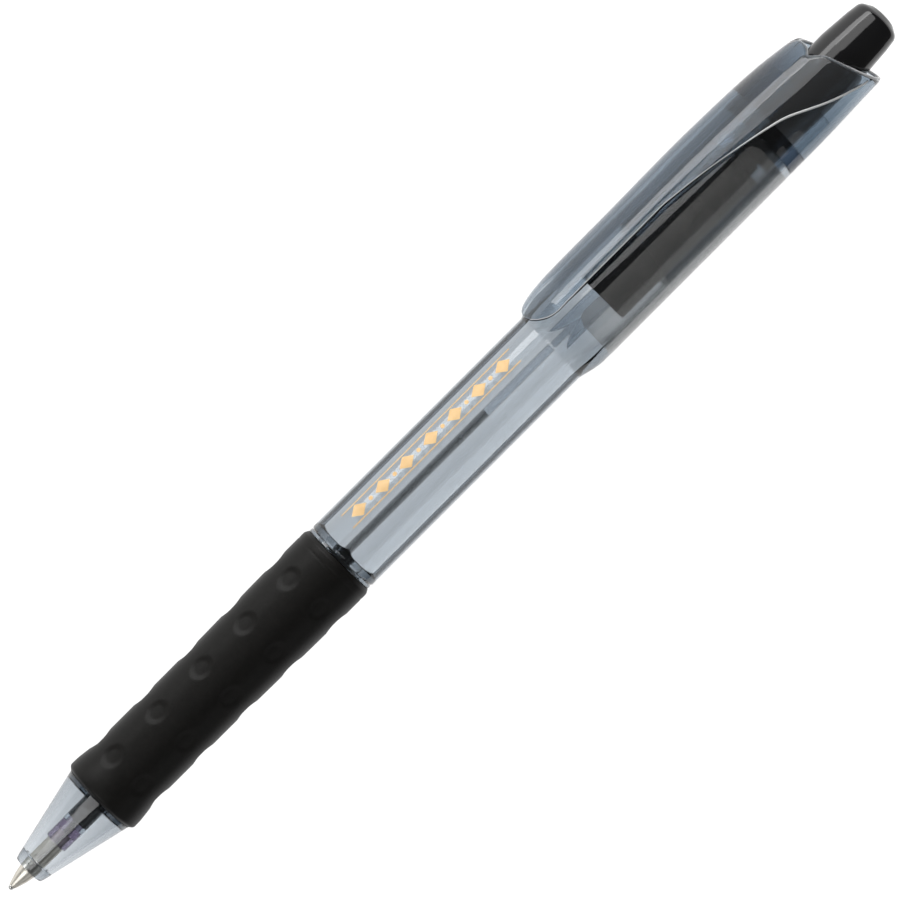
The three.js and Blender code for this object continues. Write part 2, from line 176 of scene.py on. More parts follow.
HOOD_SPREAD = [(110, 37), (116.5, 44.6), (123.5, 56), (128.2, 66.8), (133.4, 83.6), (138.9, 112.8)]
HOOD_SWELL = 12               # the hood reaches this much further round on the side away from the table
HOOD_SWELL_SPAN = (126, 134)
HOOD_STEP = 1.2               # degrees between the hood's edge and the start of the cap

PRINT_START = 58.2
PRINT_END = 85.6
PRINT_ANGLE = -30
PRINT_HALF_HEIGHT = 0.95
PRINT_LOZENGES = 7
PRINT_DOT_R = 0.28
PRINT_RULE = 0.075
PRINT_THICKNESS = 0.014
LIFT = 0.004                  # the print and the label stand this far off the plastic

FILM_START = 93.5
FILM_END = 122.4
FILM_EDGE = -57               # the label film reaches from here round the side away from the clip
FILM_SPREAD = 118
FILM_CORNER = 1.2
FILM_THICKNESS = 0.026

VIEW_ANGLE = -60              # the camera looks at this angle around the pen
VIEW_DISTANCE = 575
VIEW_STATION = 72.5
VIEW_OFFSET = 0.14
VIEW_WIDTH = 104.85           # width of the picture at the pen


# ------------------------------------------------------------------ places and outlines

def around(angle):
    """Unit vector away from the pen's axis, at an angle in degrees from the middle of the clip."""
    turn = math.radians(angle)
    return CLIP_SIDE * math.cos(turn) + ACROSS * math.sin(turn)


def place(station, radius=0, angle=0):
    return TIP - FORWARD * station * MM + around(angle) * radius * MM


def smooth(low, high, value):
    t = min(max((value - low) / (high - low), 0), 1)
    return t * t * (3 - 2 * t)


def along(pairs, station):
    """A value read off a list of (station, value) pairs, on a curve through them."""
    last = len(pairs) - 1
    i = max(k for k in range(last) if k == 0 or pairs[k][0] <= station)
    (s1, v1), (s2, v2) = pairs[i], pairs[i + 1]
    before = pairs[max(i - 1, 0)]
    after = pairs[min(i + 2, last)]
    span = s2 - s1
    t = min(max((station - s1) / span, 0), 1)
    slope1 = (v2 - before[1]) / (s2 - before[0]) * span
    slope2 = (after[1] - v1) / (after[0] - s1) * span
    return ((2 * t ** 3 - 3 * t ** 2 + 1) * v1 + (t ** 3 - 2 * t ** 2 + t) * slope1
            + (3 * t ** 2 - 2 * t ** 3) * v2 + (t ** 3 - t ** 2) * slope2)


def rounded(corners, steps=5):
    """An outline from (radius, station) or (radius, station, fillet) corners."""
    points = []
    for i, corner in enumerate(corners):
        here = Vector(corner[:2])
        if len(corner) == 2:
            points.append(here)
            continue
        to_last = Vector(corners[i - 1][:2]) - here
        to_next = Vector(corners[(i + 1) % len(corners)][:2]) - here
        reach = corner[2] / math.tan(to_last.angle(to_next) / 2)
        reach = min(reach, 0.48 * to_last.length, 0.48 * to_next.length)
        start = here + to_last.normalized() * reach
        end = here + to_next.normalized() * reach
        for k in range(steps + 1):
            t = k / steps
            points.append(start * (1 - t) ** 2 + here * 2 * t * (1 - t) + end * t * t)
    return points


def stretch(start, end, count):
    """Evenly spaced points between two (radius, station) points, without the ends."""
    a, b = Vector(start), Vector(end)
    return [tuple(a.lerp(b, k / count)) for k in range(1, count)]


# ------------------------------------------------------------------ mesh helpers

def piece(name, mesh, material, sharp=32):
    """Finishes a bmesh as a smooth-shaded object with one material."""
    bmesh.ops.remove_doubles(mesh, verts=mesh.verts, dist=1e-8)
    bmesh.ops.dissolve_degenerate(mesh, edges=mesh.edges, dist=1e-8)
    bmesh.ops.recalc_face_normals(mesh, faces=mesh.faces)
    data = bpy.data.meshes.new(name)
    mesh.to_mesh(data)
    mesh.free()
    data.shade_smooth()
    data.set_sharp_from_angle(angle=math.radians(sharp))
    data.materials.append(material)
    made = bpy.data.objects.new(name, data)
    bpy.context.scene.collection.objects.link(made)
    return made


def turned(name, outline, material, sides=SIDES, shape=None, sharp=32):
    """A turned piece. shape() may move a point of the outline to another radius and station by angle."""
    mesh = bmesh.new()
    rings = []
    for radius, station in outline:
        if radius < 1e-6:
            rings.append([mesh.verts.new(place(station))] * sides)
            continue
        ring = []
        for i in range(sides):
            angle = 360 * i / sides
            r, s = shape(radius, station, angle) if shape else (radius, station)
            ring.append(mesh.verts.new(place(s, r, angle)))
        rings.append(ring)
    on_axis = outline[0][0] < 1e-6 and outline[-1][0] < 1e-6
    pairs = list(zip(rings, rings[1:]))
    if not on_axis:
        pairs.append((rings[-1], rings[0]))
    for lower, upper in pairs:
        for i in range(sides):
            j = (i + 1) % sides
            corners = list(dict.fromkeys([lower[i], lower[j], upper[j], upper[i]]))
            if len(corners) > 2:
                mesh.faces.new(corners)
    return piece(name, mesh, material, sharp)


def wire(mesh, points, radius, sides=14, loop=False):
    """Adds a round wire along a list of points, in metres.

    radius() gives the wire's radius, in millimetres, at a share of its length.
    """
    rings = []
    count = len(points)
    normal = (points[0] - place(0)).cross(FORWARD).normalized()
    for i, point in enumerate(points):
        if loop:
            ahead = (points[(i + 1) % count] - points[i - 1]).normalized()
            normal = point - place(0)
        else:
            ahead = (points[min(i + 1, count - 1)] - points[max(i - 1, 0)]).normalized()
        normal = (normal - ahead * normal.dot(ahead)).normalized()
        side = ahead.cross(normal)
        ring = []
        for k in range(sides):
            turn = 2 * math.pi * k / sides
            out = normal * math.cos(turn) + side * math.sin(turn)
            ring.append(mesh.verts.new(point + out * radius(i / (count - 1)) * MM))
        rings.append(ring)
    pairs = list(zip(rings, rings[1:]))
    if loop:
        pairs.append((rings[-1], rings[0]))
    for lower, upper in pairs:
        for k in range(sides):
            j = (k + 1) % sides
            mesh.faces.new((lower[k], lower[j], upper[j], upper[k]))
    if not loop:
        mesh.faces.new(rings[0])
        mesh.faces.new(rings[-1])


def bridge(mesh, one, other):
    """Adds a strip of faces between two lines of points of the same length."""
    for k in range(len(one) - 1):
        mesh.faces.new((one[k], other[k], other[k + 1], one[k + 1]))


def thin_sheet(mesh, under, over):
    """Adds a thin closed sheet from two layers of points. A layer is a list of rows of the same length."""
    for layer in (under, over):
        for row, following in zip(layer, layer[1:]):
            for c in range(len(row) - 1):
                mesh.faces.new((row[c], row[c + 1], following[c + 1], following[c]))
    for c in (0, -1):
        bridge(mesh, [row[c] for row in under], [row[c] for row in over])
    for k in (0, -1):
        bridge(mesh, under[k], over[k])


def box(mesh, corners):
    """Adds a closed box from its eight corners."""
    verts = [mesh.verts.new(corner) for corner in corners]
    for face in ((0, 1, 3, 2), (4, 6, 7, 5), (0, 4, 5, 1), (2, 3, 7, 6), (0, 2, 6, 4), (1, 5, 7, 3)):
        mesh.faces.new([verts[i] for i in face])


def spoke_corners(radii, stations, width, angle):
    """The eight corners of a box that stands out from the axis."""
    out = around(angle)
    side = around(angle + 90)
    return [TIP - FORWARD * s * MM + out * r * MM + side * w * MM
            for r in radii for s in stations for w in (-width / 2, width / 2)]


def carve(target, boxes, operation="DIFFERENCE"):
    """Cuts boxes out of a piece, or joins them to it, and keeps the result as plain mesh."""
    mesh = bmesh.new()
    for corners in boxes:
        box(mesh, corners)
    bmesh.ops.recalc_face_normals(mesh, faces=mesh.faces)
    data = bpy.data.meshes.new("cutters")
    mesh.to_mesh(data)
    mesh.free()
    tool = bpy.data.objects.new("cutters", data)
    bpy.context.scene.collection.objects.link(tool)
    modifier = target.modifiers.new("carve", "BOOLEAN")
    modifier.operation = operation
    modifier.object = tool
    modifier.solver = "EXACT"
    bpy.context.view_layer.update()
    evaluated = target.evaluated_get(bpy.context.evaluated_depsgraph_get())
    result = bpy.data.meshes.new_from_object(evaluated)
    target.modifiers.clear()
    target.data = result
    result.shade_smooth()
    result.set_sharp_from_angle(angle=math.radians(32))
    bpy.data.objects.remove(tool)


# ------------------------------------------------------------------ materials

def new_material(name):
    material = bpy.data.materials.new(name)
    material.use_nodes = True
    return material, material.node_tree, material.node_tree.nodes["Principled BSDF"]


def noise(tree, scale, detail=3, stretch_along=1):
    """Noise in the pen's own millimetres, drawn out along the pen where stretch_along is over 1."""
    coordinates = tree.nodes.new("ShaderNodeTexCoord")
    mapping = tree.nodes.new("ShaderNodeMapping")
    mapping.inputs["Scale"].default_value = (1000 / stretch_along, 1000, 1000)
    texture = tree.nodes.new("ShaderNodeTexNoise")
    texture.inputs["Scale"].default_value = scale
    texture.inputs["Detail"].default_value = detail
    tree.links.new(coordinates.outputs["Object"], mapping.inputs["Vector"])
    tree.links.new(mapping.outputs["Vector"], texture.inputs["Vector"])
    return texture.outputs["Fac"]


def spread(tree, source, low, high):
    """Maps a noise output, mostly between 0.3 and 0.7, to a range."""
    remap = tree.nodes.new("ShaderNodeMapRange")
    remap.inputs["From Min"].default_value = 0.3
    remap.inputs["From Max"].default_value = 0.7
    remap.inputs["To Min"].default_value = low
    remap.inputs["To Max"].default_value = high
    tree.links.new(source, remap.inputs["Value"])
    return remap.outputs["Result"]


def add_bump(tree, shader, source, height):
    bump = tree.nodes.new("ShaderNodeBump")
    bump.inputs["Strength"].default_value = 1
    bump.inputs["Distance"].default_value = height * MM
    tree.links.new(source, bump.inputs["Height"])
    tree.links.new(bump.outputs["Normal"], shader.inputs["Normal"])


def tint(tree, shader, source, dark, light):
    mix = tree.nodes.new("ShaderNodeMix")
    mix.data_type = "RGBA"
    mix.inputs["A"].default_value = (*dark, 1)
    mix.inputs["B"].default_value = (*light, 1)
    tree.links.new(spread(tree, source, 0, 1), mix.inputs["Factor"])
    tree.links.new(mix.outputs["Result"], shader.inputs["Base Color"])


def solid(name, dark, light, rough, grain, height, metallic=0, stretch_along=1, **sockets):
    """A material with a colour that varies a little, grain in its roughness and a fine bump.

    It is opaque unless Transmission_Weight is given.
    """
    material, tree, shader = new_material(name)
    tint(tree, shader, noise(tree, grain * 0.15), dark, light)
    fine = noise(tree, grain, 4, stretch_along)
    tree.links.new(spread(tree, fine, *rough), shader.inputs["Roughness"])
    add_bump(tree, shader, fine, height)
    shader.inputs["Metallic"].default_value = metallic
    for socket, value in sockets.items():
        shader.inputs[socket.replace("_", " ")].default_value = value
    return material


def clear(name, colour, density, rough=(0.015, 0.05), surface=(0.97, 0.98, 0.99), height=0.0006, haze=0):
    """A clear plastic.

    colour and density say what light the plastic takes out along each metre of its inside, and haze is the
    share of light that its surface scatters.
    """
    material, tree, shader = new_material(name)
    shader.inputs["Base Color"].default_value = (*surface, 1)
    shader.inputs["Transmission Weight"].default_value = 1 - haze
    shader.inputs["IOR"].default_value = 1.5
    flow = noise(tree, 0.5, 2, 6)
    tree.links.new(spread(tree, flow, *rough), shader.inputs["Roughness"])
    add_bump(tree, shader, flow, height)
    absorb = tree.nodes.new("ShaderNodeVolumeAbsorption")
    absorb.inputs["Color"].default_value = (*colour, 1)
    absorb.inputs["Density"].default_value = density
    tree.links.new(absorb.outputs["Volume"], tree.nodes["Material Output"].inputs["Volume"])
    return material


SMOKE = clear("smoke_clear", (0.60, 0.635, 0.665), 980)
SMOKE_DARK = clear("clip_smoke", (0.47, 0.55, 0.615), 2400, haze=0.022)
SLEEVE = clear("sleeve_smoke", (0.46, 0.53, 0.60), 1300)
TAIL = clear("sleeve_tail_smoke", (0.60, 0.635, 0.665), 60)
# Pale, half-clear material of the beads along the hood's edges and the rim: painted highlight, not the
# plastic's own colour.
PAINTED_HIGHLIGHT_EDGE = solid("painted_highlight_edge", (0.74, 0.75, 0.76), (0.84, 0.84, 0.84), (0.12, 0.24), 5, 0.001,
             Transmission_Weight=0.35)
TUBE = clear("tube_plastic", (0.50, 0.58, 0.66), 900, (0.08, 0.16))
FILM = solid("label_film", (0.66, 0.66, 0.65), (0.74, 0.74, 0.73), (0.06, 0.14), 1.5, 0.001,
             Transmission_Weight=0.93)
HOLDER = clear("holder_plastic", (0.56, 0.48, 0.62), 1000, (0.2, 0.32), (0.92, 0.89, 0.95))
RUBBER = solid("grip_rubber", (0.0045, 0.0042, 0.0037), (0.0065, 0.006, 0.0053), (0.4, 0.5), 9, 0.004,
               Specular_IOR_Level=0.16)
BLACK_GLOSS = solid("black_gloss", (0.004, 0.004, 0.0045), (0.006, 0.006, 0.0065), (0.08, 0.14), 1.2, 0.0006)
BLACK_SATIN = solid("black_plastic", (0.005, 0.005, 0.006), (0.009, 0.009, 0.01), (0.2, 0.3), 2.5, 0.001,
                    Specular_IOR_Level=0.2)
ACETAL = solid("mechanism_plastic", (0.008, 0.009, 0.010), (0.013, 0.014, 0.016), (0.35, 0.5), 3, 0.001)
INK = solid("ink_black", (0.0025, 0.0025, 0.003), (0.004, 0.004, 0.005), (0.05, 0.1), 0.8, 0.0005)
FOLLOWER = solid("follower_grease", (0.05, 0.06, 0.07), (0.08, 0.09, 0.10), (0.2, 0.35), 1.5, 0.002)
POINT = solid("point_metal", (0.67, 0.64, 0.57), (0.76, 0.73, 0.66), (0.32, 0.46), 5, 0.0015, 1, 0.08,
              Specular_Tint=(0.5, 0.5, 0.5, 1))
BALL = solid("ball_metal", (0.55, 0.55, 0.54), (0.62, 0.62, 0.61), (0.06, 0.12), 6, 0.0003, 1)
WIRE = solid("spring_steel", (0.50, 0.51, 0.52), (0.60, 0.61, 0.62), (0.2, 0.34), 8, 0.001, 1)
GOLD = solid("gold_print", (0.66, 0.43, 0.19), (0.74, 0.51, 0.25), (0.35, 0.5), 6, 0.001, 0.15)


# ------------------------------------------------------------------ refill

def make_refill():
    half_circle = [(BALL_R * math.sin(math.pi * k / 24), BALL_R - BALL_R * math.cos(math.pi * k / 24))
                   for k in range(25)]
    ball = turned("ball", half_circle, BALL, 48)
    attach(ball, "ball")
    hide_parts("writing_ball")

    point = turned("metal_point", rounded([
        (0.345, 0.46), (0.4, 0.48, 0.04), (0.53, 0.85, 0.3), (0.86, 1.9, 2), (1.07, 2.95, 2), (1.15, 4, 2),
        (1.15, 7.75), (0.9, 7.75), (0.9, 9.4), (0.5, 9.4), (0.5, 3.1), (0.15, 2.6), (0.15, 0.75),
        (0.38, 0.66), (0.38, 0.6),
    ]), POINT, 72)
    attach(point, "refill")
    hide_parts("tip_cone")

    holder = turned("point_adapter", rounded([
        (0.95, HOLDER_START), (HOLDER_R, HOLDER_START, 0.15), (HOLDER_R, HOLDER_END), (1.07, HOLDER_END),
        (1.07, 11.3), (0.5, 11.3), (0.5, 9.45), (0.95, 9.45),
    ]), HOLDER, 72)
    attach(holder, "refill")
    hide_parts("tip_holder")

    tube = turned("refill_tube", [
        (TUBE_BORE_R, TUBE_START), (TUBE_R, TUBE_START), (TUBE_R, TUBE_END), (TUBE_BORE_R, TUBE_END),
    ], TUBE, 72)
    carve(tube, [spoke_corners((1.3, 2.3), (EAR_START, EAR_END), 0.9, angle) for angle in (0, 180)], "UNION")
    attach(tube, "refill")
    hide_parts("ink_tube")

    wet = TUBE_BORE_R + 0.006       # ink that wets the tube, with no air gap between them
    ink = turned("ink_column", rounded([
        (0, 3.3), (0.45, 3.3), (0.45, 11.33), (wet, 11.33), (wet, INK_END),
        (0.6, INK_END - 0.25), (0, INK_END - 0.35),
    ]), INK, 72)
    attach(ink, "refill")
    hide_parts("ink")

    follower = turned("follower", rounded([
        (0, INK_END - 0.33), (0.6, INK_END - 0.23), (wet, INK_END + 0.02), (wet, FOLLOWER_END),
        (0.6, FOLLOWER_END - 0.4), (0, FOLLOWER_END - 0.5),
    ]), FOLLOWER, 72)
    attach(follower, "refill")
    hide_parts("ink_follower")


def make_spring():
    steps = SPRING_TURNS * 36
    length = EAR_START - 0.2 - SPRING_START
    path = []
    for i in range(steps + 1):
        t = i / steps
        closed = 0.06 * math.sin(2 * math.pi * t)      # the end turns lie closer together
        path.append(place(SPRING_START + length * (t - closed), SPRING_R, 360 * SPRING_TURNS * t))
    mesh = bmesh.new()
    wire(mesh, path, lambda share: SPRING_WIRE_R)
    spring = piece("return_spring", mesh, WIRE, 40)
    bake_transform(spring)
    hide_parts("spring")


# ------------------------------------------------------------------ front section

def make_nose():
    nose = turned("nose_cone", rounded([
        (1.3, NOSE_START, 0.06), (1.95, NOSE_START, 0.22), (2.12, NOSE_START + 0.5, 0.3),
        (4.72, CONE_END, 0.05), (4.05, CONE_END), (4.05, NOSE_END - 0.4), (4.8, NOSE_END - 0.4),
        (4.8, NOSE_END, 0.06), (3.45, NOSE_END), (3.45, 45.7), (2.5, 45.7), (2.5, 15.6), (1.65, 15.6),
        (1.65, 14.5, 0.08), (3.6, 14.5, 0.25), (1.78, 4.75, 0.08), (1.3, 4.6, 0.1),
    ]), SMOKE)
    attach(nose, "front_section")
    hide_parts("nose_holder")


def grip_radius(station):
    """The sleeve's outer radius: a lip in front, a waist behind it and a slight swell to the rear."""
    waist = 4.87 + 0.33 * (1 - smooth(GRIP_START + 0.8, GRIP_START + 4.6, station))
    return waist + 0.24 * smooth(30, 52, station)


def dimpled(radius, station, angle):
    """Presses the dimples into the sleeve's outside, and leaves the bore and the ends as they are."""
    if radius < 4.7:
        return radius, station
    row_width = 360 / DIMPLE_ROWS
    off_row = (angle % row_width) - row_width / 2
    nearest = min(max(round((station - DIMPLE_FIRST) / DIMPLE_PITCH), 0), DIMPLES_PER_ROW - 1)
    off_station = station - (DIMPLE_FIRST + nearest * DIMPLE_PITCH)
    distance = math.hypot(off_station, 1.17 * math.radians(off_row) * radius)
    bowl = DIMPLE_DEPTH * (1 - smooth(0.5 * DIMPLE_R, 1.02 * DIMPLE_R, distance))
    return radius - bowl, station


def grip_line(station):
    return GRIP_LINE_DEPTH * math.exp(-((station - GRIP_LINE) / GRIP_LINE_WIDTH) ** 2)


def make_grip():
    start, end = GRIP_START + 1.3, GRIP_END - 1
    rows = 250
    stations = [start + (end - start) * k / rows for k in range(rows + 1)]
    outside = [(grip_radius(station), station) for station in stations]
    front = rounded([
        (GRIP_BORE_R, GRIP_START), (4.75, GRIP_START, 0.1), (5.2, GRIP_START + 0.35, 0.5), outside[0],
    ], 6)
    rear = rounded([
        outside[-1], (5.1, GRIP_END - 0.55, 0.4), (4.8, GRIP_END, 0.2), (GRIP_BORE_R, GRIP_END),
    ], 6)
    outside = [(radius - grip_line(station), station) for radius, station in outside]
    grip = turned("grip", front[:-1] + outside + rear[1:], RUBBER, 288, dimpled, 50)
    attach(grip, "front_section")
    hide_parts("grip_sleeve")


# ------------------------------------------------------------------ barrel

def hexagon(angle):
    """Radius of the six-sided bore at an angle, with a corner at the clip and one towards the camera."""
    return HEX_APOTHEM / math.cos(math.radians((angle % 60) - 30))


def bore_radius(station, angle):
    """The bore behind the spigot: a domed front end, six flat sides, then a cone up to the round part."""
    rise = min(max((station - DOME_START) / DOME_LENGTH, 0), 1)
    dome = 3.35 + 1.1 * math.sqrt(1 - (1 - rise) ** 2)
    opened = (station - CONE_START) / (CONE_STOP - CONE_START)
    narrow = HEX_APOTHEM - 0.02
    cone = narrow + (REAR_BORE_R - narrow) * opened
    return min(dome, max(hexagon(angle), cone))


def barrel_shape(radius, station, angle):
    """Turns the bore between the spigot and the rear section into a six-sided one, and cuts the thread."""
    if THREAD_START < station < THREAD_END and radius > 3:
        phase = ((station - THREAD_START) / THREAD_PITCH - angle / 360) % 1
        run_in = smooth(THREAD_START, THREAD_START + 0.6, station)
        run_out = 1 - smooth(THREAD_END - 0.6, THREAD_END, station)
        ridge = max(0, 1 - abs(phase - 0.5) / 0.3)
        return SPIGOT_R - THREAD_DEPTH + THREAD_DEPTH * ridge * run_in * run_out, station
    if abs(radius - HEX_APOTHEM) < 0.001:
        return bore_radius(station, angle), station
    return radius, station


def make_barrel():
    root = SPIGOT_R - THREAD_DEPTH
    thread = stretch((root, THREAD_START), (root, THREAD_END), 64)
    flare = [(BARREL_R + (REAR_R - BARREL_R) * smooth(-0.25, 1, k / 12), FLARE_START + FLARE_LENGTH * k / 12)
             for k in range(1, 13)]
    bore = [DOME_START + DOME_LENGTH * (k / 14) ** 2 for k in range(15)]
    bore += [HEX_START + 1.5 + (CONE_START - HEX_START - 1.5) * k / 16 for k in range(17)]
    bore += [CONE_START + (CONE_STOP - CONE_START) * k / 40 for k in range(1, 40)]
    body = turned("barrel_shell", rounded([
        (SPIGOT_BORE_R, SPIGOT_START), (root, SPIGOT_START, 0.1),
        (root, THREAD_START), *thread, (root, THREAD_END), (root, 53.3),
        (SPIGOT_R, 53.6), (SPIGOT_R, SEAM), (4.7, SEAM, 0.03), (BARREL_R, SEAM + 0.22, 0.2),
        (BARREL_R, FLARE_START), (BARREL_R + 0.03, FLARE_START), *flare,
        (REAR_R, BARREL_END, 0.08), (REAR_BORE_R, BARREL_END), (REAR_BORE_R, CONE_STOP),
        *[(HEX_APOTHEM, station) for station in reversed(bore)], (SPIGOT_BORE_R, DOME_START),
    ]), SMOKE, 180, barrel_shape, 28)
    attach(body, "barrel")
    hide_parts("barrel")


def printed_mark(mesh, start, end, half_height, middle=0.0, steps=16, columns=8):
    """One shape of the print: a thin patch on the barrel, as tall at each place as half_height() says."""
    base = BARREL_R + LIFT
    layers = []
    for height_above in (0, PRINT_THICKNESS):
        rows = []
        for k in range(steps + 1):
            u = k / steps
            height = max(half_height(u), 0.012)
            row = []
            for c in range(columns + 1):
                arc = middle + height * (2 * c / columns - 1)
                angle = PRINT_ANGLE + math.degrees(arc / base)
                row.append(mesh.verts.new(place(start + (end - start) * u, base + height_above, angle)))
            rows.append(row)
        layers.append(rows)
    thin_sheet(mesh, *layers)


def make_print():
    """A plain gold ornament of lozenges, dots and fine rules."""
    mesh = bmesh.new()
    pitch = (PRINT_END - PRINT_START) / PRINT_LOZENGES

    def lozenge(u):
        return PRINT_HALF_HEIGHT * (1 - abs(2 * u - 1))

    def dot(u):
        return PRINT_DOT_R * math.sqrt(max(1 - (2 * u - 1) ** 2, 0))

    for i in range(PRINT_LOZENGES):
        middle = PRINT_START + (i + 0.5) * pitch
        half = pitch * 0.3
        printed_mark(mesh, middle - half, middle + half, lozenge)
        if i:
            edge = PRINT_START + i * pitch
            printed_mark(mesh, edge - PRINT_DOT_R, edge + PRINT_DOT_R, dot)
    for side in (-1, 1):
        rule = side * (PRINT_HALF_HEIGHT + 0.18)
        printed_mark(mesh, PRINT_START, PRINT_END, lambda u: PRINT_RULE, rule, 24, 2)
    mark = piece("gold_ornament", mesh, GOLD)
    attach(mark, "barrel")


def make_film():
    """The clear label on the rear section, left blank: a thin, slightly milky film with rounded corners."""
    mesh = bmesh.new()
    rows, columns = 60, 48
    layers = []
    for radius in (REAR_R + LIFT, REAR_R + LIFT + FILM_THICKNESS):
        layer = []
        for k in range(rows + 1):
            u = k / rows
            station = FILM_START + (FILM_END - FILM_START) * u
            to_end = min(station - FILM_START, FILM_END - station)
            inside_corner = max(FILM_CORNER - to_end, 0)
            cut = FILM_CORNER - math.sqrt(max(FILM_CORNER ** 2 - inside_corner ** 2, 0))
            trim = math.degrees(cut / radius)
            first, last = FILM_EDGE - trim, FILM_EDGE - FILM_SPREAD + trim
            layer.append([mesh.verts.new(place(station, radius, first + (last - first) * c / columns))
                          for c in range(columns + 1)])
        layers.append(layer)
    thin_sheet(mesh, *layers)
    film = piece("label_film", mesh, FILM)
    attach(film, "barrel")


# ------------------------------------------------------------------ click mechanism

def slanted(radius, station, angle):
    """Cuts the sleeve's front end at a slant."""
    if station > SLEEVE_START + SLEEVE_SLANT:
        return radius, station
    lean = math.cos(math.radians(angle + 30)) * radius * SLEEVE_SLANT / (2 * SLEEVE_R)
    return radius, station + SLEEVE_SLANT / 2 + lean


def make_sleeve():
    sleeve = turned("sleeve", rounded([
        (SLEEVE_BORE_R, SLEEVE_START), (SLEEVE_R, SLEEVE_START, 0.1), (SLEEVE_R, 110),
        (SLEEVE_R, COLLAR_START), (REAR_R, COLLAR_START, 0.06), (REAR_R, COLLAR_END, 0.06),
        (SLEEVE_BORE_R, COLLAR_END),
    ]), SLEEVE, SIDES, slanted)
    windows = [spoke_corners((3, 5), (start, start + length), WINDOW_WIDTH, angle)
               for start, length in WINDOWS for angle in (-60, 120)]
    carve(sleeve, windows)
    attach(sleeve, "barrel")
    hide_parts("guide_sleeve")

    tail_start = COLLAR_END + 0.02
    tail = turned("sleeve_tail", rounded([
        (SLEEVE_BORE_R, tail_start), (SLEEVE_TAIL_R, tail_start), (SLEEVE_TAIL_R, SLEEVE_END, 0.1),
        (SLEEVE_BORE_R, SLEEVE_END),
    ]), TAIL, SIDES)
    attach(tail, "barrel")


def make_cam():
    cam = turned("cam", rounded([
        (CAM_BORE_R, CAM_START), (CAM_R, CAM_START, 0.15), (CAM_R, CAM_END, 0.1), (2.5, CAM_END),
        (2.5, CAM_END - CAM_STOP), (CAM_BORE_R, CAM_END - CAM_STOP),
    ]), BLACK_SATIN, 96)
    ribs = [spoke_corners((2.55, 3.2), (107, 116), 1.8, angle) for angle in (0, 90, 180, 270)]
    carve(cam, ribs, "UNION")
    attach(cam, "barrel")
    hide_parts("cam_tube")


def colour_rotor_and_plunger():
    """The rotor and the plunger keep their CAD shapes, with a new material."""
    for name in ("rotor", "plunger"):
        node = frame["nodes"][name]
        node.data.materials.clear()
        node.data.materials.append(ACETAL)


def make_button():
    button = turned("button", rounded([
        (0, 139.8), (2.05, 139.8), (2.05, BUTTON_START), (BUTTON_R, BUTTON_START, 0.1), (BUTTON_R, 126),
        (3.5, 137.4, 6), (3.2, 141.3, 4), (2.95, PEN_LENGTH - 0.9, 1.1), (1.7, PEN_LENGTH - 0.15, 1.2),
        (0.9, PEN_LENGTH, 1), (0, PEN_LENGTH),
    ], 8), BLACK_GLOSS, 96, None, 40)
    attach(button, "button")
    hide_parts("push_button")


# ------------------------------------------------------------------ clip and end cap, one moulding

def rim_station(angle):
    """Where the rim of the open rear end lies at an angle: further forward at the clip, with two scoops."""
    turn = (angle + 180) % 360 - 180
    scoop = RIM_SCOOP * math.exp(-((abs(turn) - RIM_SCOOP_ANGLE) / RIM_SCOOP_WIDTH) ** 2)
    return RIM_MIDDLE - RIM_LEAN * math.cos(math.radians(turn)) - scoop


def half_angle(station, side=1):
    """How far round the hood reaches at a station, towards the table (side 1) or away from it (side -1)."""
    behind = min(max((station - CLIP_START) / CLIP_NOSE_LENGTH, 0), 1)
    reach = along(HOOD_SPREAD, station) if station > HOOD_SPREAD[0][0] else CLIP_HALF_ANGLE
    if side < 0:
        reach += HOOD_SWELL * smooth(*HOOD_SWELL_SPAN, station)
    return max(reach * math.sqrt(1 - (1 - behind) ** 2), CLIP_LEAST_ANGLE)


def cap_radius(station):
    return REAR_R - CAP_TAPER * smooth(CAP_TAPER_START, CAP_END, station)


def rolled_in(station, rim):
    """How far the outside has turned in at a station, just ahead of the rim."""
    share = min(max(1 - (rim - station) / RIM_ROLL, 0), 1)
    return RIM_ROLL_DEPTH * (1 - math.sqrt(1 - share * share))


